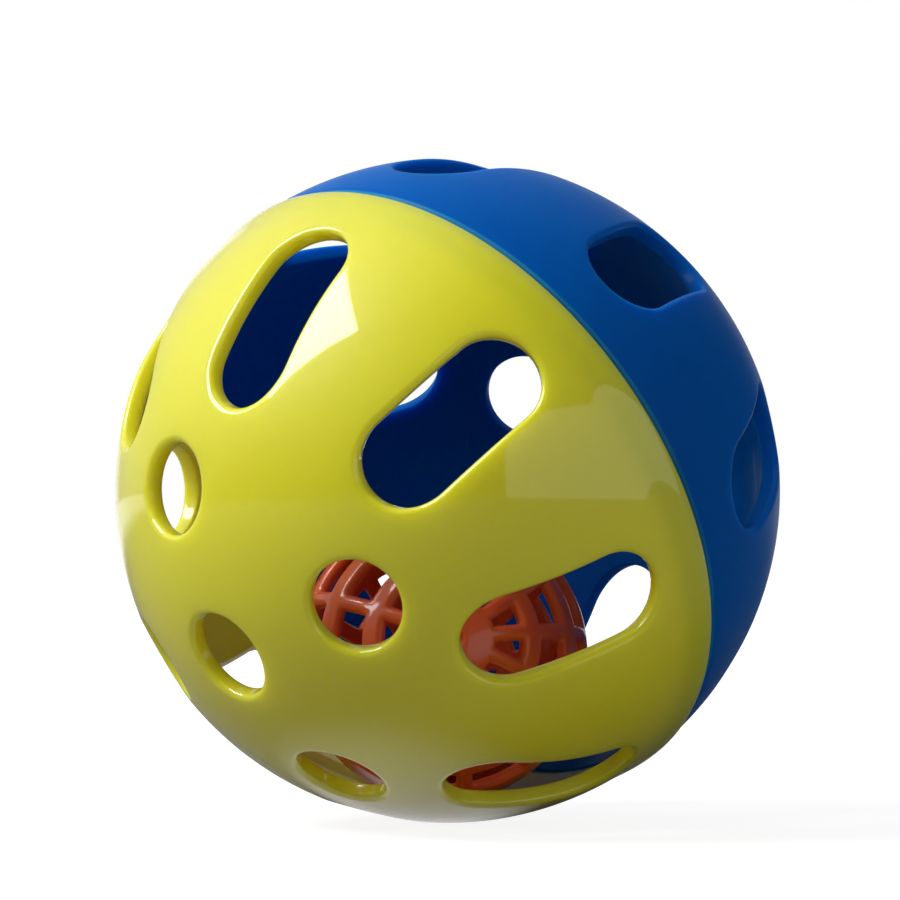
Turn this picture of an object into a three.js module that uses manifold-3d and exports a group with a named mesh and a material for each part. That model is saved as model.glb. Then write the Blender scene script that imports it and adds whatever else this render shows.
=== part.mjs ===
// Toy ball for small rodents: two perforated shells round a loose lattice ball with a jingle bell in it.
// Millimetres, +Z up, origin at the centre of the ball. The ball lies as photographed.

import * as THREE from "three";
import { mergeVertices } from "three/addons/utils/BufferGeometryUtils.js";
import Module from "manifold-3d";

const wasm = await Module();
wasm.setup();

// Outer ball
const ballRadius = 45;
const ballWall = 2.4;
const bandWidth = 3.6;
const bandRise = 0.4;
const tongueHeight = 3.5;
const tongueThickness = 1;
const snapBead = 0.3;
const snapBeadHeight = 1.8;
const halvesTwist = 1.5;

// Openings of each shell, seen along the polar axis through its round pole hole
const poleHoleRadius = 6.1;
const ringHoleRadius = 6.1;
const ringHoleCount = 4;
const ringHolePolar = 29.8;
const slotCount = 8;
const slotPolar = 61.8;
const slotHalfWidth = 6.1;
const slotStraight = 14.2;
const slotPoleDraft = 1.2;
const openingRounding = 0.9;
const wallDraftShare = 0.6;

// Lattice ball that rolls inside
const latticeRadius = 19.8;
const latticeWall = 1.5;
const spokeCount = 12;
const spokeWidth = 2;
const windowRows = [
  { fromPolar: 17.5, toPolar: 28.5 },
  { fromPolar: 38.5, toPolar: 51 },
  { fromPolar: 64, toPolar: 76 },
];
const latticeTongueHeight = 2;
const latticeTongueThickness = 0.6;
const latticeSnapBead = 0.15;
const polarDimpleRadius = 1.1;
const polarDimpleDepth = 0.8;

// Jingle bell inside the lattice ball
const bellRadius = 7;
const bellWall = 0.5;
const crimpRise = 0.6;
const crimpHeight = 0.8;
const bellSlitWidth = 1.2;
const bellHoleRadius = 1.3;
const bellHolePolar = 52;
const loopWireRadius = 0.5;
const loopBendRadius = 1.7;
const loopLegSpread = 1.1;
const pelletRadius = 1.7;

// Clearances between pieces that touch on the real ball. The bell's is larger, because the flat
// facets of the lattice ball's inner wall stand nearer to it than the round wall would.
const touchGap = 0.3;
const bellGap = 0.5;

// Attitudes in degrees: direction of each polar axis, then the turn about it
const ballAttitude = { azimuth: -137.3, inclination: 118.9, roll: 124.3 };
const latticeAttitude = { azimuth: -85.1, inclination: 80.9, roll: 82.1 };
const latticeRestSwing = -1.9;

// Facets and how far each cutting tool runs past the faces it cuts
const ballSegments = 40;
const ballRingStep = 12;
const latticeSegments = 24;
const latticeRingStep = 18;
const bellSegments = 16;
const bellRingStep = 18;
const wireSegments = 8;
const wireSteps = 26;
const capSteps = 5;
const roundSteps = 12;
const cutInside = 1.5;
const cutOutside = 4;
const weldDistance = 1e-4;

const radians = THREE.MathUtils.degToRad;
const degrees = THREE.MathUtils.radToDeg;

// Solids

function solidOf(geometry) {
  const bare = geometry.index ? geometry.toNonIndexed() : geometry.clone();
  bare.deleteAttribute("normal");
  bare.deleteAttribute("uv");
  const merged = mergeVertices(bare, weldDistance);
  const kept = [];
  const index = merged.index.array;
  for (let i = 0; i < index.length; i += 3) {
    const [a, b, c] = [index[i], index[i + 1], index[i + 2]];
    if (a !== b && b !== c && c !== a) kept.push(a, b, c);
  }
  const triVerts = new Uint32Array(kept);
  const vertProperties = new Float32Array(merged.attributes.position.array);
  return new wasm.Manifold(new wasm.Mesh({ numProp: 3, vertProperties, triVerts }));
}

function geometryOf(solid) {
  const mesh = solid.getMesh();
  const geometry = new THREE.BufferGeometry();
  geometry.setAttribute("position", new THREE.BufferAttribute(mesh.vertProperties, 3));
  geometry.setIndex(new THREE.BufferAttribute(mesh.triVerts, 1));
  geometry.computeVertexNormals();
  return geometry;
}

function subtractAll(solid, cutters) {
  return cutters.reduce((left, cutter) => left.subtract(cutter), solid);
}

// A profile of [distance from the axis, height] turned about Z, listed so that its faces point outwards.
function turned(profile, segments) {
  const points = profile.map(([r, z]) => new THREE.Vector2(r, z));
  return solidOf(new THREE.LatheGeometry(points, segments).rotateX(Math.PI / 2));
}

// A closed skin through rings of equally many points, with a fan over each end.
function lofted(rings) {
  const count = rings[0].length;
  const vertices = rings.flat();
  const middles = [rings[0], rings[rings.length - 1]].map((ring) =>
    ring.reduce((sum, p) => sum.add(p), new THREE.Vector3()).divideScalar(count),
  );
  const faces = [];
  for (let k = 0; k + 1 < rings.length; k++) {
    for (let i = 0; i < count; i++) {
      const [a, b] = [k * count + i, k * count + ((i + 1) % count)];
      faces.push(a, b, b + count, a, b + count, a + count);
    }
  }
  const [first, last] = [vertices.length, vertices.length + 1];
  const top = (rings.length - 1) * count;
  for (let i = 0; i < count; i++) {
    const next = (i + 1) % count;
    faces.push(first, next, i, last, top + i, top + next);
  }
  const geometry = new THREE.BufferGeometry().setFromPoints([...vertices, ...middles]);
  geometry.setIndex(faces);
  return solidOf(geometry);
}

// Shells that lap at the seam

// Points on a circle about the origin, from one polar angle to another in steps of about one size.
function sphereArc(radius, fromPolar, toPolar, step) {
  const steps = Math.max(1, Math.round(Math.abs(toPolar - fromPolar) / step));
  return Array.from({ length: steps + 1 }, (_, i) => {
    const polar = radians(fromPolar + ((toPolar - fromPolar) * i) / steps);
    return [radius * Math.sin(polar), radius * Math.cos(polar)];
  });
}

function polarAtHeight(radius, height) {
  return degrees(Math.acos(height / radius));
}

// Half with the overlapping lip. Its rabbet takes the other half's tongue and snap bead.
function lipShell({ radius, wall, lap, rise, width, segments, step }) {
  const inner = radius - wall;
  const seat = inner + lap.thickness + touchGap;
  const rabbetTop = lap.height + touchGap;
  const lipOuter = radius + rise;
  const edge = touchGap;
  const stepFoot = width + rise;
  const bandTop = Math.sqrt(lipOuter ** 2 - width ** 2);
  const grooveHalf = lap.bead + touchGap;
  const profile = [
    ...sphereArc(inner, 0, polarAtHeight(inner, rabbetTop), step),
    [seat, rabbetTop],
    [seat, lap.beadHeight + grooveHalf],
    [seat + lap.bead, lap.beadHeight],
    [seat, lap.beadHeight - grooveHalf],
    [seat, 0],
    [lipOuter - edge, 0],
    [lipOuter, edge],
    [bandTop, width],
    ...sphereArc(radius, polarAtHeight(radius, stepFoot), 0, step),
  ];
  return turned(profile, segments);
}

// Half with the tongue, made pointing down: its pole is at -Z and the tongue stands above the seam.
function tongueShell({ radius, wall, lap, segments, step }) {
  const inner = radius - wall;
  const face = inner + lap.thickness;
  const rim = -touchGap;
  const edge = touchGap;
  const profile = [
    ...sphereArc(radius, 180, polarAtHeight(radius, rim - edge), step),
    [radius - edge, rim],
    [face, rim],
    [face, lap.beadHeight - lap.bead],
    [face + lap.bead, lap.beadHeight],
    [face, lap.beadHeight + lap.bead],
    [face, lap.height],
    ...sphereArc(inner, polarAtHeight(inner, lap.height), 180, step),
  ];
  return turned(profile, segments);
}

// Openings

// Unit axes of an opening: outwards, down the meridian away from the pole, and across it.
function openingAxes(polar, azimuth) {
  const [t, a] = [radians(polar), radians(azimuth)];
  const out = new THREE.Vector3(Math.sin(t) * Math.cos(a), Math.sin(t) * Math.sin(a), Math.cos(t));
  const down = new THREE.Vector3(Math.cos(t) * Math.cos(a), Math.cos(t) * Math.sin(a), -Math.sin(t));
  return { out, down, across: new THREE.Vector3().crossVectors(out, down) };
}

// Outline of an obround or circle in [down, across], with its pole-side end drawn out by poleDraft.
function openingOutline(halfWidth, straight, poleDraft) {
  const outline = [];
  if (straight === 0) {
    for (let i = 0; i < roundSteps; i++) {
      const turn = (2 * Math.PI * i) / roundSteps;
      outline.push([halfWidth * Math.cos(turn), halfWidth * Math.sin(turn)]);
    }
    return outline;
  }
  for (const end of [1, -1]) {
    for (let i = 0; i < capSteps; i++) {
      const turn = Math.PI * (i / (capSteps - 1) - 0.5);
      const reach = end * (straight / 2 + halfWidth * Math.cos(turn));
      const draft = end < 0 ? poleDraft * Math.cos(turn) : 0;
      outline.push([reach - draft, end * halfWidth * Math.sin(turn)]);
    }
    outline.push([0, end * halfWidth]);
  }
  return outline;
}

// Tool for one opening: straight through the wall, then rounded out to the surface.
function openingCutter({ polar, azimuth, halfWidth, straight = 0, poleDraft = 0 }) {
  const { out, down, across } = openingAxes(polar, azimuth);
  const inner = ballRadius - ballWall;
  const bend = openingRounding;
  const midBend = bend * (1 - Math.SQRT1_2);
  const levels = [
    { radius: inner - cutInside, spread: 0, draft: 0 },
    { radius: ballRadius - bend, spread: 0, draft: wallDraftShare },
    { radius: ballRadius - midBend, spread: midBend, draft: (1 + wallDraftShare) / 2 },
    { radius: ballRadius, spread: bend, draft: 1 },
    { radius: ballRadius + cutOutside, spread: bend, draft: 1 },
  ];
  const rings = levels.map(({ radius, spread, draft }) =>
    openingOutline(halfWidth + spread, straight, poleDraft * draft).map(([u, v]) => {
      const height = Math.sqrt(radius ** 2 - u ** 2 - v ** 2);
      return new THREE.Vector3()
        .addScaledVector(out, height)
        .addScaledVector(down, u)
        .addScaledVector(across, v);
    }),
  );
  return lofted(rings);
}

// The tools for one shell: a pole hole, a ring of round holes and a ring of slots.
function openingCutters() {
  const slotPitch = 360 / slotCount;
  const ringPitch = 360 / ringHoleCount;
  const cutters = [openingCutter({ polar: 0, azimuth: 0, halfWidth: poleHoleRadius })];
  for (let i = 0; i < ringHoleCount; i++) {
    const azimuth = i * ringPitch - slotPitch / 2;
    cutters.push(openingCutter({ polar: ringHolePolar, azimuth, halfWidth: ringHoleRadius }));
  }
  for (let i = 0; i < slotCount; i++) {
    cutters.push(
      openingCutter({
        polar: slotPolar,
        azimuth: i * slotPitch,
        halfWidth: slotHalfWidth,
        straight: slotStraight,
        poleDraft: slotPoleDraft,
      }),
    );
  }
  return cutters;
}

// Lattice

// Tool for one window between two spokes. The spokes keep their width from pole to seam.
function windowCutter(row, azimuth) {
  const inner = latticeRadius - latticeWall;
  const halfPitch = Math.PI / spokeCount;
  const corner = (radius, polar, side) => {
    const ringRadius = radius * Math.sin(radians(polar));
    const spokeShare = Math.asin(spokeWidth / 2 / ringRadius);
    const turn = radians(azimuth) + side * (halfPitch - spokeShare);
    const height = radius * Math.cos(radians(polar));
    return new THREE.Vector3(ringRadius * Math.cos(turn), ringRadius * Math.sin(turn), height);
  };
  const rings = [inner - cutInside, latticeRadius + cutInside].map((radius) => [
    ...[-1, 1].map((side) => corner(radius, row.toPolar, side)),
    ...[1, -1].map((side) => corner(radius, row.fromPolar, side)),
  ]);
  return lofted(rings);
}

function windowCutters() {
  const pitch = 360 / spokeCount;
  return windowRows.flatMap((row) =>
    Array.from({ length: spokeCount }, (_, i) => windowCutter(row, i * pitch)),
  );
}

// Gate dimple on the polar disc, left by the mould
function dimpleCutter() {
  const profile = [
    [0, latticeRadius - polarDimpleDepth],
    [polarDimpleRadius, latticeRadius - polarDimpleDepth],
    [polarDimpleRadius, latticeRadius + cutInside],
    [0, latticeRadius + cutInside],
  ];
  return turned(profile, wireSegments);
}

// Bell

// Half of the bell's shell, pole at +Z, with a crimped flange of its own at the rim.
function bellHalf() {
  const inner = bellRadius - bellWall;
  const rim = touchGap / 2;
  const flangeTop = rim + crimpHeight / 2;
  const flange = bellRadius + crimpRise;
  const profile = [
    ...sphereArc(inner, 0, polarAtHeight(inner, rim), bellRingStep),
    [flange, rim],
    [flange, flangeTop],
    ...sphereArc(bellRadius, polarAtHeight(bellRadius, flangeTop + crimpRise / 2), 0, bellRingStep),
  ];
  return turned(profile, bellSegments);
}

// Slot in the crown of the bell for both legs of the loop.
function loopSlotCutter() {
  const reach = loopBendRadius + loopWireRadius + touchGap;
  const half = loopWireRadius + touchGap;
  const slot = new THREE.BoxGeometry(2 * reach, 2 * half, bellRadius);
  return solidOf(slot.translate(0, 0, bellRadius));
}

// Sound slit over the bottom of the bell, ending in two round holes.
function slitCutters() {
  const slitReach = bellRadius * Math.sin(radians(bellHolePolar));
  const slit = new THREE.BoxGeometry(2 * slitReach, bellSlitWidth, bellRadius);
  const holes = [1, -1].map((side) => {
    const hole = new THREE.CylinderGeometry(bellHoleRadius, bellHoleRadius, bellRadius, bellSegments / 2);
    hole.rotateX(Math.PI / 2).translate(0, 0, bellRadius).rotateY(radians(side * bellHolePolar));
    return solidOf(hole);
  });
  return [solidOf(slit.translate(0, 0, bellRadius)), ...holes];
}

// Wire loop: up through the slot, over a half circle, down again, and both feet bent out inside.
function loopSolid() {
  const slotReach = loopBendRadius + loopWireRadius + touchGap;
  const inner = Math.sqrt((bellRadius - bellWall) ** 2 - (slotReach + loopLegSpread) ** 2);
  const footHeight = inner - loopWireRadius - touchGap;
  const bendHeight = bellRadius + loopWireRadius;
  const footEnd = loopBendRadius + loopLegSpread;
  const path = new THREE.CurvePath();
  const at = (x, z) => new THREE.Vector3(x, 0, z);
  const knee = 2 * loopWireRadius;
  path.add(new THREE.LineCurve3(at(-footEnd - knee, footHeight), at(-loopBendRadius - knee, footHeight)));
  path.add(
    new THREE.QuadraticBezierCurve3(
      at(-loopBendRadius - knee, footHeight),
      at(-loopBendRadius, footHeight),
      at(-loopBendRadius, footHeight + knee),
    ),
  );
  path.add(new THREE.LineCurve3(at(-loopBendRadius, footHeight + knee), at(-loopBendRadius, bendHeight)));
  const arc = Array.from({ length: wireSegments + 1 }, (_, i) => {
    const turn = Math.PI * (1 - i / wireSegments);
    return at(loopBendRadius * Math.cos(turn), bendHeight + loopBendRadius * Math.sin(turn));
  });
  arc.slice(1).forEach((p, i) => path.add(new THREE.LineCurve3(arc[i], p)));
  path.add(new THREE.LineCurve3(at(loopBendRadius, bendHeight), at(loopBendRadius, footHeight + knee)));
  path.add(
    new THREE.QuadraticBezierCurve3(
      at(loopBendRadius, footHeight + knee),
      at(loopBendRadius, footHeight),
      at(loopBendRadius + knee, footHeight),
    ),
  );
  path.add(new THREE.LineCurve3(at(loopBendRadius + knee, footHeight), at(footEnd + knee, footHeight)));
  const section = new THREE.Shape();
  section.absarc(0, 0, loopWireRadius, 0, 2 * Math.PI, false);
  const wire = new THREE.ExtrudeGeometry(section, {
    steps: wireSteps,
    curveSegments: wireSegments / 2,
    extrudePath: path,
    bevelEnabled: false,
  });
  return solidOf(wire);
}

// Pieces, materials and the scene graph

const materials = {
  yellow: new THREE.MeshStandardMaterial({ color: "#d8d64e", roughness: 0.22, metalness: 0 }),
  blue: new THREE.MeshStandardMaterial({ color: "#00509c", roughness: 0.25, metalness: 0 }),
  orange: new THREE.MeshStandardMaterial({ color: "#c8501a", roughness: 0.3, metalness: 0 }),
  steel: new THREE.MeshStandardMaterial({ color: "#c9ccd0", roughness: 0.2, metalness: 1 }),
};

function piece(name, solid, material) {
  const mesh = new THREE.Mesh(geometryOf(solid), material);
  mesh.name = name;
  return mesh;
}

// A group whose +Z points along a polar axis and is then turned about it.
function attitudeGroup({ azimuth, inclination, roll }) {
  const group = new THREE.Group();
  const turn = (axis, angle) =>
    new THREE.Quaternion().setFromAxisAngle(axis, radians(angle));
  const [y, z] = [new THREE.Vector3(0, 1, 0), new THREE.Vector3(0, 0, 1)];
  group.quaternion.copy(turn(z, azimuth)).multiply(turn(y, inclination)).multiply(turn(z, roll));
  return group;
}

// The blue half faces the yellow one hole to hole and slot to slot, but for a small chance twist.
function outerBall() {
  const lap = {
    height: tongueHeight,
    thickness: tongueThickness,
    bead: snapBead,
    beadHeight: snapBeadHeight,
  };
  const common = {
    radius: ballRadius,
    wall: ballWall,
    lap,
    segments: ballSegments,
    step: ballRingStep,
  };
  const cutters = openingCutters();
  const yellow = subtractAll(lipShell({ ...common, rise: bandRise, width: bandWidth }), cutters);
  const facing = halvesTwist - 360 / slotCount;
  const flipped = cutters.map((c) => c.rotate([180, 0, 0]).rotate([0, 0, facing]));
  const blue = subtractAll(tongueShell(common), flipped);
  const group = attitudeGroup(ballAttitude);
  group.add(piece("yellow_shell", yellow, materials.yellow));
  group.add(piece("blue_shell", blue, materials.blue));
  return group;
}

function latticeBall() {
  const lap = {
    height: latticeTongueHeight,
    thickness: latticeTongueThickness,
    bead: latticeSnapBead,
    beadHeight: latticeTongueHeight / 2,
  };
  const common = {
    radius: latticeRadius,
    wall: latticeWall,
    lap,
    segments: latticeSegments,
    step: latticeRingStep,
  };
  const cutters = [...windowCutters(), dimpleCutter()];
  const front = subtractAll(lipShell({ ...common, rise: 0, width: latticeTongueHeight }), cutters);
  const flipped = cutters.map((c) => c.rotate([180, 0, 0]));
  const back = subtractAll(tongueShell(common), flipped);
  const group = attitudeGroup(latticeAttitude);
  group.add(piece("lattice_front_half", front, materials.orange));
  group.add(piece("lattice_back_half", back, materials.orange));
  return group;
}

// The bell lies on its side, its loop towards +Y.
function bell() {
  const group = new THREE.Group();
  const cap = subtractAll(bellHalf(), [loopSlotCutter()]);
  const cup = subtractAll(bellHalf(), slitCutters()).rotate([180, 0, 0]);
  const shell = new THREE.Group();
  shell.rotation.x = -Math.PI / 2;
  shell.add(piece("bell_cap", cap, materials.steel));
  shell.add(piece("bell_cup", cup, materials.steel));
  shell.add(piece("bell_loop", loopSolid(), materials.steel));
  const pelletDrop = bellRadius - bellWall - touchGap - pelletRadius;
  const pellet = new THREE.SphereGeometry(pelletRadius, 2 * wireSegments, wireSegments);
  const pelletMesh = piece("bell_pellet", solidOf(pellet), materials.steel);
  pelletMesh.position.z = -pelletDrop;
  group.add(shell, pelletMesh);
  return group;
}

const latticeDrop = ballRadius - ballWall - touchGap - latticeRadius;
const bellDrop = latticeRadius - latticeWall - bellGap - bellRadius - crimpRise;

const inside = new THREE.Group();
inside.position.set(
  latticeDrop * Math.sin(radians(latticeRestSwing)),
  0,
  -latticeDrop * Math.cos(radians(latticeRestSwing)),
);
const bellPlace = bell();
bellPlace.position.z = -bellDrop;
inside.add(latticeBall(), bellPlace);

const toyBall = new THREE.Group();
toyBall.add(outerBall(), inside);

export default toyBall;
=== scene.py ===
from collections import namedtuple

import bmesh
import bpy
import numpy as np
from mathutils import Matrix


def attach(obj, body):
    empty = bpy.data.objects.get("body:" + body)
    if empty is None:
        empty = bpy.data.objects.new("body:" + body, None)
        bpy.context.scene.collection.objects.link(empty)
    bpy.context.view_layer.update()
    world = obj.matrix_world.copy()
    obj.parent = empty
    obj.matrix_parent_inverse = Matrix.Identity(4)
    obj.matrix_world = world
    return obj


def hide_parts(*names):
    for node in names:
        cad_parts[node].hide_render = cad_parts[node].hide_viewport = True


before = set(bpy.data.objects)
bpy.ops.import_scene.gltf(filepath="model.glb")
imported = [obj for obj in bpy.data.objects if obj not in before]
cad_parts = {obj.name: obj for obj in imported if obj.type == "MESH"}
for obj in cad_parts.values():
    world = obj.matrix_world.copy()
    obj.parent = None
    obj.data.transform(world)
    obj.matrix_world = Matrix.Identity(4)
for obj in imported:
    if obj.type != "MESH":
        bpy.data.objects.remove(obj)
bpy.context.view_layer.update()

# A toy ball for small rodents: a yellow and a blue shell, snapped together round a loose
# lattice ball with a jingle bell in it. Metres, +Z up, origin at the centre of the ball.

MM = 0.001

# Outer ball
BALL_RADIUS = 45 * MM
BALL_WALL = 2.4 * MM
BAND_RISE = 0.4 * MM
TONGUE_HEIGHT = 3.5 * MM
TONGUE_THICKNESS = 1 * MM
SEAM_GAP = 0.3 * MM
HALVES_TWIST = 1.5
BALL_ATTITUDE = (-137.3, 118.9, 124.3)

# Openings of each shell, as polar angle and azimuth about the shell's own axis. A cell is the patch
# of wall round an opening, and its border is given as a polar angle.
POLE_HOLE_RADIUS = 6.1 * MM
RING_HOLE_RADIUS = 6.1 * MM
RING_HOLE_COUNT = 4
RING_HOLE_POLAR = 29.8
SLOT_COUNT = 8
SLOT_POLAR = 61.8
SLOT_HALF_WIDTH = 6.1 * MM
SLOT_STRAIGHT = 14.2 * MM
SLOT_POLE_DRAFT = 1.2 * MM
MOUTH_DRAFT = 0.6
OPENING_ROUNDING = 0.9 * MM
INNER_EDGE = 0.2 * MM
POLE_CELL = 15.0
RING_CELL = 40.4
BLUE_STRIP_TOP = 4.0 * MM
YELLOW_STRIP_TOP = 6.2 * MM

# Lattice ball
LATTICE_RADIUS = 19.8 * MM
LATTICE_WALL = 1.5 * MM
SPOKE_COUNT = 12
SPOKE_HALF_WIDTH = 1.08 * MM
WINDOW_ROWS = ((17.2, 28.8), (38.2, 51.6), (62.2, 74.6))
ROW_BORDERS = (13.6, 33.2, 57.3, 80.0)
RIB_ROUNDING = 0.9 * MM
LATTICE_TONGUE_HEIGHT = 2 * MM
LATTICE_TONGUE_THICKNESS = 0.6 * MM
LATTICE_ATTITUDE = (-85.1, 80.9, 82.1)
LATTICE_SWING = -1.9
DIMPLE_RADIUS = 1.1 * MM
DIMPLE_DEPTH = 0.8 * MM

# Jingle bell inside the lattice ball, its loop towards +Y
BELL_RADIUS = 7 * MM
BELL_WALL = 0.5 * MM
BELL_GAP = 0.5 * MM
CRIMP_RISE = 0.6 * MM
BELL_SLIT = (0.6 * MM, 6.35 * MM, 1.3 * MM)
LOOP_SLOT = (0.8 * MM, 1.7 * MM, 0.8 * MM)
CROWN_POLAR = 70.0
LOOP_WIRE = 0.5 * MM
LOOP_BEND = 1.7 * MM
LOOP_KNEE = 1.0 * MM
FOOT_HEIGHT = 4.612 * MM
FOOT_REACH = 3.8 * MM
PELLET_RADIUS = 1.7 * MM

# Key light, placed by the edges of its reflection beside the upper slot
KEY_PLACE = (-0.645, -0.165, 0.689)
KEY_EDGE = (-0.725, 0.217, -0.652)
KEY_SIZE = (0.56, 0.5)
KEY_POWER = 9.6

# Panel on the right, which the yellow shell mirrors as a dull band
PANEL_PLACE = (0.766, -0.643, 0.22)
PANEL_EDGE = (0.643, 0.766, 0)
PANEL_TARGET = (0, 0, 0.22)
PANEL_SIZE = (1.2, 0.53)
PANEL_POWER = 1.5

# Side of the room that is paler in reflections
PALE_SIDE = (-0.5, 0.6, 0.625)

# Painted light: a spot on the paper under the ball that glows in reflections, standing in for the light
# that falls through the ball's openings
PAINTED_LIGHT_SPOT = (-0.008, -0.012, -0.0454)
PAINTED_LIGHT_REACH = (10 * MM, 26 * MM)
PAPER_GREY = 0.22
FILL_LEVEL = 0.25

# Camera, as fitted to the outlines of the openings
CAMERA_DISTANCE = 0.6016
CAMERA_LENS = 177.3
CAMERA_SHIFT = (0.0027, 0.0449)


def turn_z(degrees):
    """Rotation about Z."""
    c, s = np.cos(np.radians(degrees)), np.sin(np.radians(degrees))
    return np.array([[c, -s, 0], [s, c, 0], [0, 0, 1]])


def turn_y(degrees):
    """Rotation about Y."""
    c, s = np.cos(np.radians(degrees)), np.sin(np.radians(degrees))
    return np.array([[c, 0, s], [0, 1, 0], [-s, 0, c]])


def attitude(azimuth, inclination, roll):
    """The rotation that points +Z along a direction and then turns about it."""
    return turn_z(azimuth) @ turn_y(inclination) @ turn_z(roll)


HALF_TURN = np.diag([1.0, -1.0, -1.0])
BALL_TURN = attitude(*BALL_ATTITUDE)
LATTICE_TURN = attitude(*LATTICE_ATTITUDE)
LATTICE_DROP = BALL_RADIUS - BALL_WALL - SEAM_GAP - LATTICE_RADIUS
LATTICE_CENTRE = LATTICE_DROP * np.array(
    [np.sin(np.radians(LATTICE_SWING)), 0, -np.cos(np.radians(LATTICE_SWING))]
)


def on_sphere(polar, azimuth):
    """Unit directions at polar angles and azimuths in radians."""
    return np.stack([np.sin(polar) * np.cos(azimuth), np.sin(polar) * np.sin(azimuth), np.cos(polar)], -1)


def unit(v):
    return v / np.linalg.norm(v, axis=-1, keepdims=True)


class Skin:
    """Patches of points in rows and columns that become one closed mesh."""

    def __init__(self):
        self.points = []
        self.faces = []
        self.count = 0

    def add(self, grid, closed=True):
        """One patch. Its faces look along the row direction crossed with the column direction."""
        rows, columns = grid.shape[:2]
        index = np.arange(rows * columns).reshape(rows, columns) + self.count
        if closed:
            index = np.concatenate([index, index[:, :1]], 1)
        a, b, c, d = index[:-1, :-1], index[1:, :-1], index[1:, 1:], index[:-1, 1:]
        self.points.append(grid.reshape(-1, 3))
        self.faces.append(np.stack([a, b, c, d], -1).reshape(-1, 4))
        self.count += rows * columns

    def fan(self, ring, tip, outward=True):
        """Closes a ring of points with triangles to a tip."""
        start = self.count
        n = len(ring)
        self.points.append(np.concatenate([ring, tip[None]]))
        i = np.arange(n)
        j = (i + 1) % n
        order = [i, j] if outward else [j, i]
        self.faces.append(np.stack([start + order[0], start + order[1], np.full(n, start + n)], -1))
        self.count += n + 1

    def build(self, name, turn, centre=(0, 0, 0), weld=2e-6):
        """The mesh object: points turned and moved into place, borders welded, shaded smooth."""
        points = np.concatenate(self.points) @ turn.T + np.asarray(centre)
        mesh = bpy.data.meshes.new(name)
        mesh.from_pydata(points.tolist(), [], [f.tolist() for group in self.faces for f in group])
        work = bmesh.new()
        work.from_mesh(mesh)
        bmesh.ops.remove_doubles(work, verts=work.verts, dist=weld)
        work.to_mesh(mesh)
        work.free()
        mesh.polygons.foreach_set("use_smooth", [True] * len(mesh.polygons))
        mesh.update()
        piece = bpy.data.objects.new(name, mesh)
        bpy.context.scene.collection.objects.link(piece)
        return piece


def edge_loop(top, bottom, middle, half, columns, rows):
    """Border of a cell, once round: a rectangle in polar angle and azimuth. Gives polar angles and
    azimuths in radians and the same border as a square from -1 to 1 (down, across)."""
    across = np.linspace(-1, 1, columns + 1)[:-1]
    down = np.linspace(1, -1, rows + 1)[:-1]
    one = np.ones
    x = np.concatenate([one(columns), down, -one(columns), -down])
    y = np.concatenate([across, one(rows), -across, -one(rows)])
    polar = np.radians((top + bottom) / 2 + x * (bottom - top) / 2)
    azimuth = np.radians(middle + y * half)
    return polar, azimuth, x, y


def opening_sheet(border, polar, azimuth, half_width, straight, pole_draft):
    """One opening as a single sheet of rings. Each ring keeps a fixed distance from the opening's
    spine; the rings run over the inner wall to the hole, out through it, round its edge by a quarter
    circle and over the outer wall to the cell's border."""
    out = on_sphere(np.radians(polar), np.radians(azimuth))
    down = on_sphere(np.radians(polar + 90), np.radians(azimuth))
    side = np.cross(out, down)
    local = np.stack([border @ down, border @ side], -1) * BALL_RADIUS
    spine = np.zeros_like(local)
    spine[:, 0] = np.clip(local[:, 0], -straight / 2, straight / 2)
    away = unit(local - spine)

    def ring(spread, draft, radius, sink):
        flat = spine + away * (half_width + spread)
        flat[:, 0] += draft * pole_draft * np.minimum(away[:, 0], 0)
        height = np.sqrt(radius**2 - (flat**2).sum(1)) - sink
        return flat[:, :1] * down + flat[:, 1:] * side + height[:, None] * out

    inner = BALL_RADIUS - BALL_WALL
    bend, edge = OPENING_ROUNDING, INNER_EDGE
    rings = []
    inner_rim = ring(edge, 0, inner, 0)
    for t in np.linspace(1, 0, 9, endpoint=False):
        rings.append(unit(t * border * inner + (1 - t) * inner_rim) * inner)
    for t in np.linspace(np.pi / 2, 0, 4):
        rings.append(ring(edge * (1 - np.cos(t)), 0, inner, -edge * (1 - np.sin(t))))
    mouth = ring(0, MOUTH_DRAFT, BALL_RADIUS, bend)
    rings.append(0.7 * rings[-1] + 0.3 * mouth)
    rings.append((rings[-1] + mouth) / 2)
    for t in np.linspace(0, np.pi / 2, 9):
        draft = MOUTH_DRAFT + (1 - MOUTH_DRAFT) * np.sin(t)
        rings.append(ring(bend * (1 - np.cos(t)), draft, BALL_RADIUS, bend * (1 - np.sin(t))))
    rim = rings[-1]
    for t in np.linspace(0, 1, 13)[1:] ** 1.2:
        rings.append(unit((1 - t) * rim + t * border * BALL_RADIUS) * BALL_RADIUS)
    return np.stack(rings)


def lathe(profile, azimuths):
    """A profile of distances from the axis and heights, carried round Z through the azimuths."""
    profile = np.asarray(profile)
    r, z = profile[:, :1], profile[:, 1:]
    return np.stack([r * np.cos(azimuths), r * np.sin(azimuths), z + 0 * azimuths], -1)


def arc(middle, radius, start, end, count):
    """Points on a circle in the profile plane, angles in degrees from the outward direction."""
    a = np.radians(np.linspace(start, end, count))
    return [(middle[0] + radius * np.cos(t), middle[1] + radius * np.sin(t)) for t in a]


def sphere_profile(radius, z_from, z_to, count):
    """Profile points on a sphere, evenly spaced in height."""
    z = np.linspace(z_from, z_to, count)
    return list(zip(np.sqrt(radius**2 - z**2), z))


SLOT_COLUMNS, SLOT_ROWS, RING_ROWS = 24, 34, 24


def seam_azimuths():
    step = 360 / SLOT_COUNT
    across = np.linspace(-1, 1, SLOT_COLUMNS + 1)[:-1]
    middles = np.arange(SLOT_COUNT) * step
    return np.radians((middles[:, None] + across * step / 2).ravel())


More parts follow.
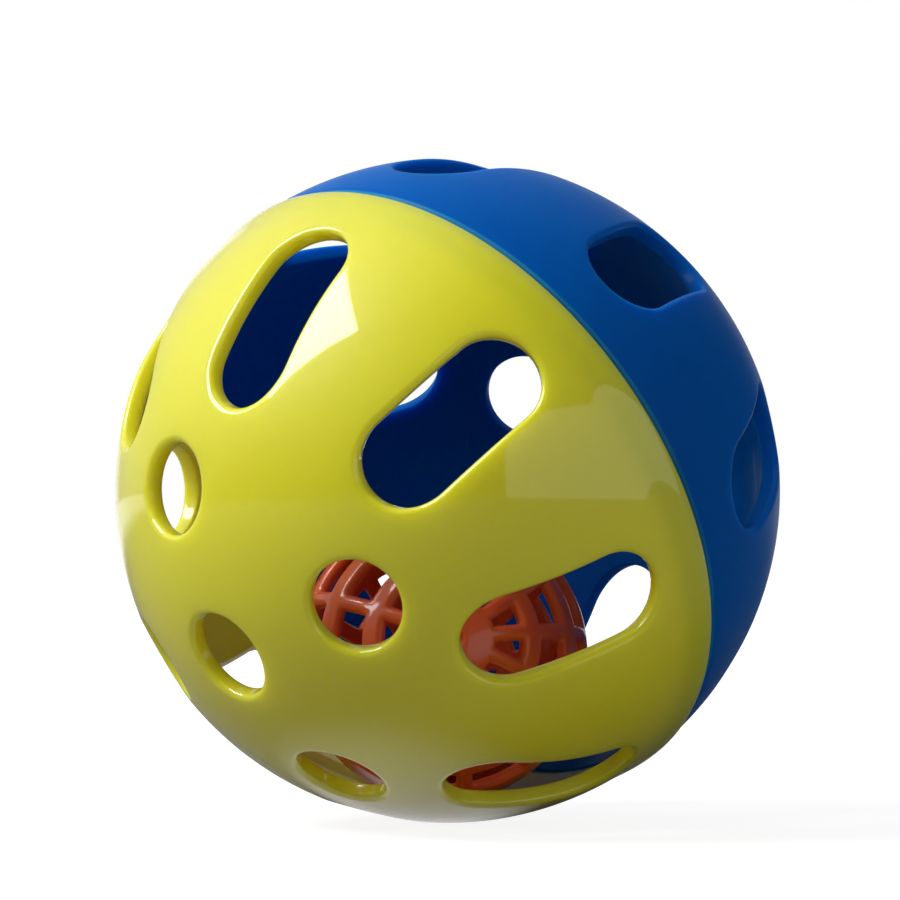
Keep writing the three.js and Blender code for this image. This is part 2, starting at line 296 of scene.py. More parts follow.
def shell_skin(seam_profile, strip_top):
    """Half a ball with its pole up: a sheet for each opening and a turned seam strip."""
    skin = Skin()
    seam_polar = np.degrees(np.arccos(strip_top / BALL_RADIUS))
    cells = []
    slot_half = 180 / SLOT_COUNT
    ring_half = 180 / RING_HOLE_COUNT
    for i in range(SLOT_COUNT):
        middle = i * 2 * slot_half
        cells.append(
            (
                edge_loop(RING_CELL, seam_polar, middle, slot_half, SLOT_COLUMNS, SLOT_ROWS),
                (SLOT_POLAR, middle, SLOT_HALF_WIDTH, SLOT_STRAIGHT, SLOT_POLE_DRAFT),
            )
        )
    for i in range(RING_HOLE_COUNT):
        middle = i * 2 * ring_half - slot_half
        cells.append(
            (
                edge_loop(POLE_CELL, RING_CELL, middle, ring_half, 2 * SLOT_COLUMNS, RING_ROWS),
                (RING_HOLE_POLAR, middle, RING_HOLE_RADIUS, 0, 0),
            )
        )
    for (polar, azimuth, _, _), opening in cells:
        skin.add(opening_sheet(on_sphere(polar, azimuth), *opening))
    turn = np.linspace(0, 2 * np.pi, 8 * SLOT_COLUMNS, endpoint=False) - np.radians(3 * slot_half)
    border = on_sphere(np.full_like(turn, np.radians(POLE_CELL)), turn)
    skin.add(opening_sheet(border, 0, 0, POLE_HOLE_RADIUS, 0, 0))
    skin.add(lathe(seam_profile, seam_azimuths()))
    return skin


def soft_step(t):
    """Three times t squared less twice t cubed, held between 0 and 1."""
    t = np.clip(t, 0, 1)
    return t * t * (3 - 2 * t)


def yellow_seam():
    """Outer wall that swells softly to the rim, rounded rim edge, rabbet with its snap groove, and
    inner wall. The swell is the band's rise times a soft step of the height."""
    inner = BALL_RADIUS - BALL_WALL
    seat = inner + TONGUE_THICKNESS + SEAM_GAP
    top = TONGUE_HEIGHT + SEAM_GAP
    inner_border = inner * YELLOW_STRIP_TOP / BALL_RADIUS
    edge = 0.8 * MM
    z = np.linspace(YELLOW_STRIP_TOP, edge, 16)
    swell = BAND_RISE * soft_step((YELLOW_STRIP_TOP - z) / (YELLOW_STRIP_TOP - 1.2 * MM))
    outer = list(zip(np.sqrt(BALL_RADIUS**2 - z**2) + swell, z))
    return (
        outer
        + arc((outer[-1][0] - edge, edge), edge, -11, -90, 8)
        + [(seat + 0.1 * MM, 0), (seat, 0.1 * MM), (seat, 1.2 * MM), (seat + 0.3 * MM, 1.8 * MM)]
        + [(seat, 2.4 * MM), (seat, top), (inner + 0.02 * MM, top)]
        + sphere_profile(inner, top + 0.05 * MM, inner_border, 5)
    )


def blue_seam():
    """Rounded outer edge, step in to the tongue with its snap bead, tongue end and inner wall."""
    inner = BALL_RADIUS - BALL_WALL
    face = inner + TONGUE_THICKNESS
    edge = 0.7 * MM
    low = SEAM_GAP
    inner_border = inner * BLUE_STRIP_TOP / BALL_RADIUS
    mid = BALL_RADIUS - edge - 0.02 * MM
    return (
        sphere_profile(BALL_RADIUS, BLUE_STRIP_TOP, low + edge, 5)
        + arc((mid, low + edge), edge, -12, -90, 7)
        + [(face + 0.05 * MM, low), (face, low - 0.05 * MM), (face, -1.4 * MM)]
        + [(face + 0.3 * MM, -1.8 * MM), (face, -2.2 * MM), (face, 0.15 * MM - TONGUE_HEIGHT)]
        + [(face - 0.15 * MM, -TONGUE_HEIGHT)]
        + sphere_profile(inner, -TONGUE_HEIGHT, inner_border, 7)
    )


def shell_pieces():
    yellow = shell_skin(yellow_seam(), YELLOW_STRIP_TOP).build("yellow_shell_moulding", BALL_TURN)
    blue_turn = BALL_TURN @ turn_z(HALVES_TWIST - 360 / SLOT_COUNT) @ HALF_TURN
    blue = shell_skin(blue_seam(), BLUE_STRIP_TOP).build("blue_shell_moulding", blue_turn)
    return yellow, blue


# Lattice ball

WINDOW_COLUMNS, WINDOW_STEPS_DOWN = 8, 6


def window_ring(row, middle, x, y, radius, spread):
    """Outline of a window between two spokes of even width, at one depth of the wall. The square
    from -1 to 1 is rounded at its corners, then laid on the polar angles and between the spokes."""
    soft = 0.12
    core = np.clip(np.stack([x, y], -1), soft - 1, 1 - soft)
    square = core + soft * unit(np.stack([x, y], -1) - core)
    widen = spread / LATTICE_RADIUS
    top, bottom = np.radians(row[0]) - widen, np.radians(row[1]) + widen
    polar = (top + bottom) / 2 + square[:, 0] * (bottom - top) / 2
    share = np.arcsin((SPOKE_HALF_WIDTH - spread) / (radius * np.sin(polar)))
    azimuth = np.radians(middle) + square[:, 1] * (np.pi / SPOKE_COUNT - share)
    return on_sphere(polar, azimuth) * radius


def window_sheet(row, cell, middle):
    """One window as a single sheet: inner wall, small inner edge, wall, rounded rib, outer wall."""
    polar, azimuth, x, y = cell
    border = on_sphere(polar, azimuth)
    inner = LATTICE_RADIUS - LATTICE_WALL
    bend, edge = RIB_ROUNDING, 0.3 * MM
    rings = []
    rim = window_ring(row, middle, x, y, inner, edge)
    for t in (1, 0.66, 0.33):
        rings.append(unit(t * border * inner + (1 - t) * rim) * inner)
    for t in np.linspace(np.pi / 2, 0, 3):
        rings.append(
            window_ring(row, middle, x, y, inner + edge * (1 - np.sin(t)), edge * (1 - np.cos(t)))
        )
    for t in np.linspace(0, np.pi / 2, 6):
        depth, spread = bend * (1 - np.sin(t)), bend * (1 - np.cos(t))
        rings.append(window_ring(row, middle, x, y, LATTICE_RADIUS - depth, spread))
    rim = rings[-1]
    for t in (0.33, 0.66, 1):
        rings.append(unit((1 - t) * rim + t * border * LATTICE_RADIUS) * LATTICE_RADIUS)
    return np.stack(rings)


def lattice_skin(seam_profile):
    skin = Skin()
    half = 180 / SPOKE_COUNT
    for row, top, bottom in zip(WINDOW_ROWS, ROW_BORDERS, ROW_BORDERS[1:]):
        for i in range(SPOKE_COUNT):
            middle = i * 2 * half
            cell = edge_loop(top, bottom, middle, half, WINDOW_COLUMNS, WINDOW_STEPS_DOWN)
            skin.add(window_sheet(row, cell, middle))
    across = np.linspace(-1, 1, WINDOW_COLUMNS + 1)[:-1]
    turn = np.radians((np.arange(SPOKE_COUNT)[:, None] * 2 * half + across * half).ravel())
    skin.add(lathe(seam_profile, turn))
    inner = LATTICE_RADIUS - LATTICE_WALL
    lip = np.degrees((DIMPLE_RADIUS + 0.35 * MM) / LATTICE_RADIUS)
    caps = np.radians(np.linspace(ROW_BORDERS[0], lip, 7))
    disc = [(LATTICE_RADIUS * np.sin(a), LATTICE_RADIUS * np.cos(a)) for a in caps]
    floor = disc[-1][1] - DIMPLE_DEPTH
    disc += [(DIMPLE_RADIUS + 0.1 * MM, disc[-1][1] - 0.1 * MM), (DIMPLE_RADIUS, disc[-1][1] - 0.35 * MM)]
    disc += [(DIMPLE_RADIUS * 0.9, floor), (DIMPLE_RADIUS * 0.3, floor)]
    skin.add(lathe(disc[::-1], turn))
    skin.fan(lathe([disc[-1]], turn)[0], np.array([0, 0, floor]))
    caps = np.radians(np.linspace(ROW_BORDERS[0], 1, 7))
    under = [(inner * np.sin(a), inner * np.cos(a)) for a in caps]
    skin.add(lathe(under, turn))
    skin.fan(lathe([under[-1]], turn)[0], np.array([0, 0, inner]), outward=False)
    return skin


def lattice_seams():
    """Seam strips of both halves, with a fine vee at the joint."""
    radius, inner = LATTICE_RADIUS, LATTICE_RADIUS - LATTICE_WALL
    border = np.cos(np.radians(ROW_BORDERS[-1]))
    seat = inner + LATTICE_TONGUE_THICKNESS + SEAM_GAP
    face = inner + LATTICE_TONGUE_THICKNESS
    top = LATTICE_TONGUE_HEIGHT + SEAM_GAP
    lip = (
        sphere_profile(radius, radius * border, 0.3 * MM, 6)
        + arc((radius - 0.3 * MM, 0.3 * MM), 0.3 * MM, -15, -90, 4)
        + [(seat, 0), (seat, 1.2 * MM), (seat, top), (inner + 0.02 * MM, top)]
        + sphere_profile(inner, top + 0.05 * MM, inner * border, 2)
    )
    low = SEAM_GAP
    tongue = (
        sphere_profile(radius, radius * border, low + 0.3 * MM, 6)
        + arc((radius - 0.3 * MM, low + 0.3 * MM), 0.3 * MM, -15, -90, 4)
        + [(face, low), (face, -1 * MM), (face, -LATTICE_TONGUE_HEIGHT)]
        + sphere_profile(inner, -LATTICE_TONGUE_HEIGHT, inner * border, 5)
    )
    return lip, tongue


def lattice_pieces():
    lip, tongue = lattice_seams()
    front = lattice_skin(lip).build("lattice_front_moulding", LATTICE_TURN, LATTICE_CENTRE)
    back_turn = LATTICE_TURN @ HALF_TURN
    back = lattice_skin(tongue).build("lattice_back_moulding", back_turn, LATTICE_CENTRE)
    return front, back


# Bell

BELL_TURN = np.array([[1.0, 0, 0], [0, 0, 1], [0, -1, 0]])
BELL_DROP = LATTICE_RADIUS - LATTICE_WALL - BELL_GAP - BELL_RADIUS - CRIMP_RISE
BELL_CENTRE = LATTICE_CENTRE - [0, 0, BELL_DROP]
BELL_ROUND = np.linspace(0, 2 * np.pi, 144, endpoint=False)


def crown_sheet(half, reach, bulb):
    """Crown of a bell half as one sheet of rings, in arc lengths from the pole. The opening keeps
    its half width along a spine and widens to a circle at both ends: its width there is the root of
    the circle's radius squared less the distance to the end squared."""
    local = BELL_RADIUS * np.radians(CROWN_POLAR) * np.stack([np.cos(BELL_ROUND), np.sin(BELL_ROUND)], -1)
    spine = np.zeros_like(local)
    spine[:, 0] = np.clip(local[:, 0], -reach, reach)
    away = unit(local - spine)
    to_end = reach - np.abs(spine[:, :1])
    width = np.maximum(half, np.sqrt(np.maximum(bulb**2 - to_end**2, 0)))

    def lay(flat, radius):
        distance = np.linalg.norm(flat, axis=1, keepdims=True)
        polar = distance / BELL_RADIUS
        return radius * np.concatenate([np.sin(polar) * flat / distance, np.cos(polar)], 1)

    inner = BELL_RADIUS - BELL_WALL
    edge = 0.12 * MM
    rim = spine + away * (width + edge)
    rings = [lay(local + t * (rim - local), inner) for t in np.linspace(0, 1, 9)[:-1]]
    for t in np.linspace(0, np.pi / 2, 4):
        lip = spine + away * (width + edge * (1 - np.sin(t)))
        rings.append(lay(lip, inner + edge * (1 - np.cos(t))))
    for t in np.linspace(np.pi / 2, 0, 4):
        lip = spine + away * (width + edge * (1 - np.sin(t)))
        rings.append(lay(lip, BELL_RADIUS - edge * (1 - np.cos(t))))
    rings += [lay(rim + t * (local - rim), BELL_RADIUS) for t in np.linspace(0, 1, 13)[1:]]
    return np.stack(rings)


def bell_half(name, opening, turn):
    """Crown sheet with the turned belt below it: dome, crimped flange with a round edge, inner wall."""
    inner = BELL_RADIUS - BELL_WALL
    crown = np.radians(np.linspace(CROWN_POLAR, 81, 5))
    dome = list(zip(BELL_RADIUS * np.sin(crown), BELL_RADIUS * np.cos(crown)))
    fold = BELL_RADIUS + CRIMP_RISE - 0.2 * MM
    low = 0.15 * MM
    wall = np.radians(np.linspace(88.4, CROWN_POLAR, 7))
    belt = (
        dome
        + [(BELL_RADIUS + 0.03 * MM, 0.75 * MM), (BELL_RADIUS + 0.14 * MM, 0.6 * MM)]
        + arc((fold, low + 0.2 * MM), 0.2 * MM, 90, -90, 9)
        + [(inner + 0.1 * MM, low)]
        + list(zip(inner * np.sin(wall), inner * np.cos(wall)))
    )
    skin = Skin()
    skin.add(crown_sheet(*opening))
    skin.add(lathe(belt, BELL_ROUND))
    return skin.build(name, turn, BELL_CENTRE)


def loop_path():
    """The wire's middle line, in the plane of the loop: foot, quarter bend, leg and a quarter circle
    to the top, and from there the mirror image to the other foot."""
    bend = np.linspace(0, np.pi / 2, 7)
    foot = np.stack([np.linspace(-FOOT_REACH, -LOOP_BEND - LOOP_KNEE, 5), np.full(5, FOOT_HEIGHT)], -1)
    knee = np.stack([np.sin(bend) - 1, 1 - np.cos(bend)], -1) * LOOP_KNEE + [-LOOP_BEND, FOOT_HEIGHT]
    top = BELL_RADIUS + LOOP_WIRE
    leg = np.stack([np.full(5, -LOOP_BEND), np.linspace(FOOT_HEIGHT + LOOP_KNEE, top, 5)], -1)
    turn = np.linspace(0, np.pi / 2, 10)
    over = np.stack([-np.cos(turn), np.sin(turn)], -1) * LOOP_BEND + [0, top]
    half = np.concatenate([foot[:-1], knee[:-1], leg[:-1], over])
    return np.concatenate([half, half[-2::-1] * [-1, 1]])


def bell_loop_wire():
    """Circles of the wire's radius round the path, rounded off at both ends."""
    flat = loop_path()
    path = np.stack([flat[:, 0], np.zeros(len(flat)), flat[:, 1]], -1)
    along = unit(np.gradient(path, axis=0))
    side = np.array([0, 1.0, 0])
    turn = np.linspace(0, 2 * np.pi, 20, endpoint=False)[:, None]
    size = np.full(len(path), LOOP_WIRE)
    size[[0, -1]] *= 0.6
    across = np.cross(side, along)[:, None]
    circle = side * np.cos(turn) + across * np.sin(turn)
    tube = path[:, None] + circle * size[:, None, None]
    skin = Skin()
    skin.add(tube)
    skin.fan(tube[0], path[0] - along[0] * 0.1 * MM)
    skin.fan(tube[-1], path[-1] + along[-1] * 0.1 * MM, outward=False)
    return skin.build("bell_loop_wire", BELL_TURN, BELL_CENTRE)


def bell_shot():
    """The pellet, a ball turned from a half circle."""
    polar = np.linspace(0, np.pi, 33)[1:-1]
    rows = list(zip(PELLET_RADIUS * np.sin(polar), PELLET_RADIUS * np.cos(polar)))
    turn = np.linspace(0, 2 * np.pi, 48, endpoint=False)
    ball = lathe(rows, turn)
    skin = Skin()
    skin.add(ball)
    skin.fan(ball[0], np.array([0, 0, PELLET_RADIUS]))
    skin.fan(ball[-1], np.array([0, 0, -PELLET_RADIUS]), outward=False)
    drop = BELL_RADIUS - BELL_WALL - SEAM_GAP - PELLET_RADIUS
    return skin.build("bell_shot", np.eye(3), BELL_CENTRE - [0, 0, drop])


def bell_pieces():
    cap = bell_half("bell_cap_pressing", LOOP_SLOT, BELL_TURN)
    cup = bell_half("bell_cup_pressing", BELL_SLIT, BELL_TURN @ HALF_TURN)
    return cap, cup, bell_loop_wire(), bell_shot()


# Materials


def group(name, inputs, outputs):
    """An empty shader node group with named sockets, each given as name, type and default."""
    tree = bpy.data.node_groups.new(name, "ShaderNodeTree")
    for label, kind, value in inputs:
        socket = tree.interface.new_socket(label, in_out="INPUT", socket_type=kind)
        if value is not None:
            socket.default_value = value
    for label, kind in outputs:
        tree.interface.new_socket(label, in_out="OUTPUT", socket_type=kind)
    return tree, tree.nodes.new("NodeGroupInput"), tree.nodes.new("NodeGroupOutput")


def node(tree, kind, links=(), **settings):
    """A node with its settings, its inputs set by name or number and linked from sockets."""
    made = tree.nodes.new(kind)
    values = settings.pop("values", {})
    for key, value in settings.items():
        setattr(made, key, value)
    for key, value in values.items():
        made.inputs[key].default_value = value
    for key, socket in dict(links).items():
        tree.links.new(socket, made.inputs[key])
    return made


def mask(tree, value, low, high, start=0.0, end=1.0):
    """A soft step of a value between low and high, from start to end."""
    made = node(
        tree,
        "ShaderNodeMapRange",
        {"Value": value},
        interpolation_type="SMOOTHSTEP",
        values={"From Min": low, "From Max": high, "To Min": start, "To Max": end},
    )
    return made.outputs[0]


def times(tree, a, b):
    """Product of two sockets, or of a socket and a number."""
    made = node(tree, "ShaderNodeMath", {0: a}, operation="MULTIPLY")
    if isinstance(b, float):
        made.inputs[1].default_value = b
    else:
        tree.links.new(b, made.inputs[1])
    return made.outputs[0]


def larger(tree, a, b):
    return node(tree, "ShaderNodeMath", {0: a, 1: b}, operation="MAXIMUM").outputs[0]


def blend(tree, factor, a, b):
    """Mix of two colour sockets by a factor."""
    made = node(tree, "ShaderNodeMix", {"Factor": factor, 6: a, 7: b}, data_type="RGBA")
    return made.outputs[2]


def noise(tree, vector, scale, detail=2.0, rough=0.5):
    values = {"Scale": scale, "Detail": detail, "Roughness": rough}
    return node(tree, "ShaderNodeTexNoise", {"Vector": vector}, values=values).outputs["Fac"]


SCRATCH_TURNS = (((0.3, 0.2, 0.9), 620), ((1.1, 0.7, 0.1), 540), ((0.2, 1.3, 1.9), 700))


def moulded_finish():
    """Injection-moulded plastic: slow flow marks in the colour, a dull haze in patches, a few short
    scratches from handling and the faint ripple of a polished mould."""
    sockets = [
        ("Vector", "NodeSocketVector", None),
        ("Colour", "NodeSocketColor", (0.8, 0.8, 0.8, 1)),
        ("Flow Colour", "NodeSocketColor", (0.7, 0.7, 0.7, 1)),
        ("Worn Colour", "NodeSocketColor", (0.9, 0.9, 0.9, 1)),
        ("Gloss", "NodeSocketFloat", 0.2),
        ("Haze", "NodeSocketFloat", 0.12),
        ("Scratches", "NodeSocketFloat", 0.5),
        ("Ripple", "NodeSocketFloat", 0.1),
        ("Shine", "NodeSocketFloat", 1.0),
    ]
    outs = [
        ("Colour", "NodeSocketColor"),
        ("Roughness", "NodeSocketFloat"),
        ("Coat", "NodeSocketFloat"),
        ("Normal", "NodeSocketVector"),
    ]
    tree, given, result = group("moulded finish", sockets, outs)
    v = given.outputs["Vector"]
    drawn = node(tree, "ShaderNodeMapping", {"Vector": v}, values={"Scale": (1, 1, 0.4)})
    flow = mask(tree, noise(tree, drawn.outputs[0], 38, 2, 0.4), 0.3, 0.75)
    colour = blend(tree, flow, given.outputs["Colour"], given.outputs["Flow Colour"])
    lines = None
    for turn, scale in SCRATCH_TURNS:
        along = node(
            tree, "ShaderNodeMapping", {"Vector": v}, values={"Rotation": turn, "Scale": (1, 0.05, 0.05)}
        )
        line = mask(tree, noise(tree, along.outputs[0], scale, 1), 0.74, 0.8)
        lines = line if lines is None else larger(tree, lines, line)
    handled = mask(tree, noise(tree, v, 110, 2), 0.5, 0.72)
    worn = times(tree, times(tree, lines, handled), given.outputs["Scratches"])
    rubbed = blend(tree, times(tree, worn, 0.35), colour, given.outputs["Worn Colour"])
    haze = times(tree, mask(tree, noise(tree, v, 55, 3), 0.35, 0.75), given.outputs["Haze"])
    dull = node(tree, "ShaderNodeMath", {0: given.outputs["Gloss"], 1: haze}, operation="ADD")
    rough = node(
        tree, "ShaderNodeMath", {0: worn, 2: dull.outputs[0]}, operation="MULTIPLY_ADD", values={1: 0.3}
    )
    clear = node(tree, "ShaderNodeMath", {1: haze}, operation="SUBTRACT", values={0: 1.0}, use_clamp=True)
    coat = times(tree, clear.outputs[0], given.outputs["Shine"])
    ripple = node(
        tree,
        "ShaderNodeBump",
        {"Height": noise(tree, v, 90, 1), "Strength": given.outputs["Ripple"]},
        values={"Distance": 0.0002},
    )
    nicks = node(
        tree,
        "ShaderNodeBump",
        {"Height": worn, "Normal": ripple.outputs[0]},
        values={"Strength": 0.2, "Distance": 0.00002},
        invert=True,
    )
    tree.links.new(rubbed, result.inputs["Colour"])
    tree.links.new(rough.outputs[0], result.inputs["Roughness"])
    tree.links.new(coat, result.inputs["Coat"])
    tree.links.new(nicks.outputs[0], result.inputs["Normal"])
    return tree


MOULDED = moulded_finish()
Dressing = namedtuple("Dressing", "material tree finish shader place")


def finished(name, looks, **sockets):
    """A material with the moulded finish on its shader. Looks sets the finish, sockets the shader."""
    material = bpy.data.materials.new(name)
    material.use_nodes = True
    tree = material.node_tree
    shader = tree.nodes["Principled BSDF"]
    place = tree.nodes.new("ShaderNodeTexCoord")
    finish = tree.nodes.new("ShaderNodeGroup")
    finish.node_tree = MOULDED
    tree.links.new(place.outputs["Object"], finish.inputs["Vector"])
    for label, value in looks.items():
        finish.inputs[label].default_value = (*value, 1) if isinstance(value, tuple) else value
    tree.links.new(finish.outputs["Colour"], shader.inputs["Base Color"])
    tree.links.new(finish.outputs["Roughness"], shader.inputs["Roughness"])
    tree.links.new(finish.outputs["Normal"], shader.inputs["Normal"])
    for label, value in sockets.items():
        shader.inputs[label.replace("_", " ")].default_value = value
    return Dressing(material, tree, finish, shader, place)


def coated(made):
    """Lets the finish thin out the clear gloss of a moulding."""
    made.tree.links.new(made.finish.outputs["Coat"], made.shader.inputs["Coat Weight"])
    return made.material


def seam_height(made):
    """Height of a point over the seam of the two shells, along the ball's axis."""
    place = made.place.outputs["Object"]
    height = node(made.tree, "ShaderNodeVectorMath", {0: place}, operation="DOT_PRODUCT")
    height.inputs[1].default_value = tuple(BALL_TURN @ np.array([0, 0, 1.0]))
    return height.outputs["Value"]


def tint(made, share, colour):
    """Mixes the base colour towards another one, by a share that varies over the piece."""
    links = {"Factor": share, 6: made.finish.outputs["Colour"]}
    mixed = node(made.tree, "ShaderNodeMix", links, data_type="RGBA")
    mixed.inputs[7].default_value = (*colour, 1)
    made.tree.links.new(mixed.outputs[2], made.shader.inputs["Base Color"])


def yellow_plastic():
    """Lime yellow, slightly see-through. Next to the seam a darker, greener band is painted in as shade:
    the blue tongue's shade seen through the yellow, by the height over the seam along the ball's axis."""
    looks = {
        "Colour": (0.9, 0.82, 0.009),
        "Flow Colour": (0.86, 0.78, 0.007),
        "Worn Colour": (0.85, 0.84, 0.4),
        "Gloss": 0.5,
        "Haze": 0.06,
        "Scratches": 0.5,
        "Ripple": 0.03,
        "Shine": 1.0,
    }
    made = finished(
        "lime yellow plastic",
        looks,
        Subsurface_Weight=0.8,
        Subsurface_Scale=0.006,
        Subsurface_Radius=(1.0, 0.85, 0.1),
        Specular_IOR_Level=0.45,
        Coat_Roughness=0.06,
        Coat_IOR=1.6,
    )
    # Painted shade: a darker, greener band along the seam, where the blue tongue lies behind the yellow.
    seam_shade = mask(made.tree, seam_height(made), 0.2 * MM, 2.8 * MM, 0.38, 0.0)
    tint(made, seam_shade, (0.3, 0.42, 0.14))
    return coated(made)


def blue_plastic():
    """Deep blue, slightly see-through. In patches its thin rim at the seam is painted paler and greenish,
    as a painted highlight on its rounded edge tinged by the yellow beside it.
    """
    looks = {
        "Colour": (0.0, 0.1, 0.43),
        "Flow Colour": (0.0, 0.092, 0.405),
        "Worn Colour": (0.25, 0.4, 0.75),
        "Gloss": 0.4,
        "Haze": 0.08,
        "Scratches": 0.8,
        "Ripple": 0.03,
        "Shine": 0.03,
    }
    made = finished(
        "blue plastic",
        looks,
        Subsurface_Weight=0.9,
        Subsurface_Scale=0.006,
        Subsurface_Radius=(0.02, 0.6, 1.0),
        Specular_IOR_Level=0.03,
        Coat_Roughness=0.05,
    )
    tree, height = made.tree, seam_height(made)
    # Painted highlight: the rim at the seam is tinted paler and greenish in patches, for light caught by
    # its rounded edge and the yellow beside it.
    below = mask(tree, height, -0.9 * MM, -0.6 * MM)
    above = mask(tree, height, -0.35 * MM, -0.25 * MM, 0.4, 0.0)
    patches = mask(tree, noise(tree, made.place.outputs["Object"], 45, 1), 0.38, 0.62, 0.25, 1.0)
    tint(made, times(tree, times(tree, below, above), patches), (0.06, 0.4, 0.5))
    return coated(made)


def orange_plastic():
    looks = {
        "Colour": (0.92, 0.128, 0.03),
        "Flow Colour": (0.86, 0.112, 0.026),
        "Worn Colour": (0.9, 0.4, 0.35),
        "Gloss": 0.42,
        "Haze": 0.08,
        "Scratches": 0.4,
        "Ripple": 0.04,
        "Shine": 0.7,
    }
    made = finished(
        "orange plastic",
        looks,
        Subsurface_Weight=0.4,
        Subsurface_Scale=0.002,
        Subsurface_Radius=(1.0, 0.3, 0.15),
        Coat_Roughness=0.08,
    )
    return coated(made)


def plated_steel():
    looks = {
        "Colour": (0.78, 0.79, 0.8),
        "Flow Colour": (0.7, 0.7, 0.7),
        "Worn Colour": (0.5, 0.5, 0.5),
        "Gloss": 0.16,
        "Haze": 0.15,
        "Scratches": 0.8,
        "Ripple": 0.1,
        "Shine": 0.0,
    }
    return finished("plated steel", looks, Metallic=1.0).material


def dress(piece, material, body, slot, *nodes):
    piece.data.materials.clear()
    piece.data.materials.append(material)
    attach(piece, body)
    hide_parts(*nodes)


# Studio


def area_light(name, place, along, size, power, target=(0, 0, 0)):
    """A white rectangle of light that faces the target, with one edge near a direction."""
    light = bpy.data.lights.new(name, "AREA")
    light.shape = "RECTANGLE"
    light.size, light.size_y = size
    light.energy = power
    back = unit(np.asarray(place, float) - np.asarray(target, float))
    edge = np.asarray(along, float)
    edge = unit(edge - (edge @ back) * back)
    axes = np.eye(4)
    axes[:3, :3] = np.stack([edge, np.cross(back, edge), back], 1)
    axes[:3, 3] = place
    lamp = bpy.data.objects.new(name, light)
    lamp.matrix_world = Matrix(axes.tolist())
    bpy.context.scene.collection.objects.link(lamp)
    return lamp


def set_camera():
    """The camera in front of the ball, at the height of its centre."""
    scene = bpy.context.scene
    scene.view_settings.view_transform = "Standard"
    camera_data = bpy.data.cameras.new("camera")
    camera_data.lens = CAMERA_LENS
    camera_data.sensor_width = 36
    camera_data.shift_x, camera_data.shift_y = CAMERA_SHIFT
    camera = bpy.data.objects.new("camera", camera_data)
    camera.location = (0, -CAMERA_DISTANCE, 0)
    camera.rotation_euler = (np.pi / 2, 0, 0)
    scene.collection.objects.link(camera)
    scene.camera = camera


def lay_paper():
    """Pale paper under the ball. The camera sees it white but for the ball's shadow, and reflections
    see it white far behind the ball and in a painted glowing spot under it."""
    floor_mesh = bpy.data.meshes.new("floor")
    reach, level = 3.0, -BALL_RADIUS - BAND_RISE
    floor_mesh.from_pydata(
        [(-reach, -reach, level), (reach, -reach, level), (reach, reach, level), (-reach, reach, level)],
        [],
        [(0, 1, 2, 3)],
    )
    floor = bpy.data.objects.new("floor", floor_mesh)
    bpy.context.scene.collection.objects.link(floor)
    material = bpy.data.materials.new("floor paper")
    material.use_nodes = True
    tree = material.node_tree
    shader = tree.nodes["Principled BSDF"]
    shader.inputs["Base Color"].default_value = (PAPER_GREY, PAPER_GREY, PAPER_GREY, 1)
    shader.inputs["Roughness"].default_value = 0.9
    shader.inputs["Emission Color"].default_value = (1, 1, 1, 1)
    rays = tree.nodes.new("ShaderNodeLightPath")
    place = tree.nodes.new("ShaderNodeTexCoord")
    axes = node(tree, "ShaderNodeSeparateXYZ", {0: place.outputs["Object"]})
    spot = node(tree, "ShaderNodeVectorMath", {0: place.outputs["Object"]}, operation="DISTANCE")
    spot.inputs[1].default_value = PAINTED_LIGHT_SPOT
    # Painted light: within this reach of the spot the paper glows for reflections.
    near = mask(tree, spot.outputs["Value"], *PAINTED_LIGHT_REACH, 0.8, 0.0)
    mirrored = larger(tree, rays.outputs["Is Glossy Ray"], rays.outputs["Is Transmission Ray"])
    bright = larger(tree, near, mask(tree, axes.outputs["Y"], 0.3, 0.8))
    shown = larger(tree, rays.outputs["Is Camera Ray"], times(tree, mirrored, bright))
    glow = mask(tree, spot.outputs["Value"], 0.1, 0.6, 0.88, 1.0)
    tree.links.new(times(tree, shown, glow), shader.inputs["Emission Strength"])
    floor_mesh.materials.append(material)


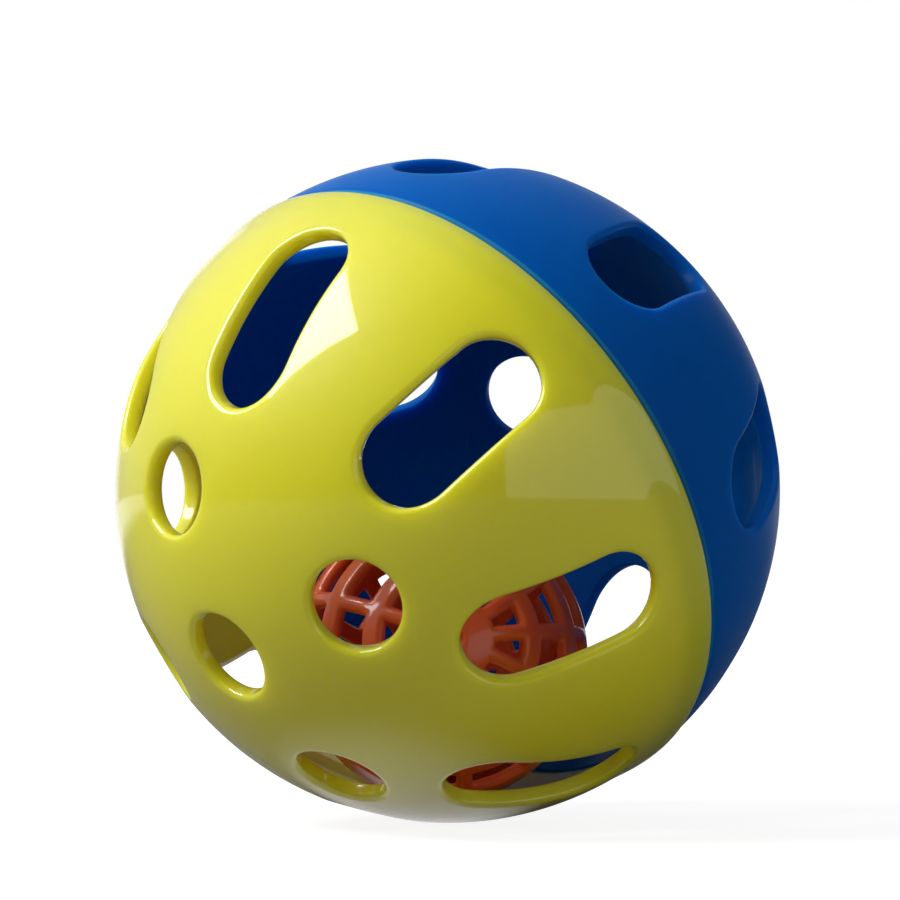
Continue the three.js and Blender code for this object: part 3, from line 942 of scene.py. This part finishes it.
def set_room():
    """White for the camera and through openings, a soft fill for plain surfaces, and for reflections
    a dark room that is paler behind the ball and on one side."""
    world = bpy.data.worlds.new("studio")
    bpy.context.scene.world = world
    world.use_nodes = True
    tree = world.node_tree
    background = tree.nodes["Background"]
    background.inputs["Color"].default_value = (1, 1, 1, 1)
    rays = tree.nodes.new("ShaderNodeLightPath")
    place = tree.nodes.new("ShaderNodeTexCoord")
    axes = node(tree, "ShaderNodeSeparateXYZ", {0: place.outputs["Generated"]})
    side = node(tree, "ShaderNodeVectorMath", {0: place.outputs["Generated"]}, operation="DOT_PRODUCT")
    side.inputs[1].default_value = PALE_SIDE
    pale = mask(tree, side.outputs["Value"], 0.2, 0.95, 0.02, 0.55)
    room = larger(tree, mask(tree, axes.outputs["Y"], 0.85, 0.98), pale)
    fill = node(
        tree,
        "ShaderNodeMapRange",
        {"Value": rays.outputs["Is Glossy Ray"], "To Max": room},
        values={"To Min": FILL_LEVEL},
    )
    seen = larger(tree, rays.outputs["Is Camera Ray"], rays.outputs["Is Transmission Ray"])
    links = {"Value": seen, "To Min": fill.outputs[0]}
    level = node(tree, "ShaderNodeMapRange", links, values={"To Max": 1.0})
    tree.links.new(level.outputs[0], background.inputs["Strength"])


def studio():
    set_camera()
    lay_paper()
    set_room()
    area_light("key softbox", KEY_PLACE, KEY_EDGE, KEY_SIZE, KEY_POWER)
    area_light("right panel", PANEL_PLACE, PANEL_EDGE, PANEL_SIZE, PANEL_POWER, PANEL_TARGET)


# Assembly

yellow, blue = shell_pieces()
front, back = lattice_pieces()
cap, cup, loop, shot = bell_pieces()

YELLOW = yellow_plastic()
BLUE = blue_plastic()
ORANGE = orange_plastic()
STEEL = plated_steel()

dress(yellow, YELLOW, "shell", "yellow_plastic", "yellow_shell")
dress(blue, BLUE, "shell", "blue_plastic", "blue_shell")
dress(front, ORANGE, "lattice_ball", "orange_plastic", "lattice_front_half")
dress(back, ORANGE, "lattice_ball", "orange_plastic", "lattice_back_half")
dress(cap, STEEL, "bell", "plated_steel", "bell_cap")
dress(cup, STEEL, "bell", "plated_steel", "bell_cup")
dress(loop, STEEL, "bell", "plated_steel", "bell_loop")
dress(shot, STEEL, "pellet", "plated_steel", "bell_pellet")

studio()
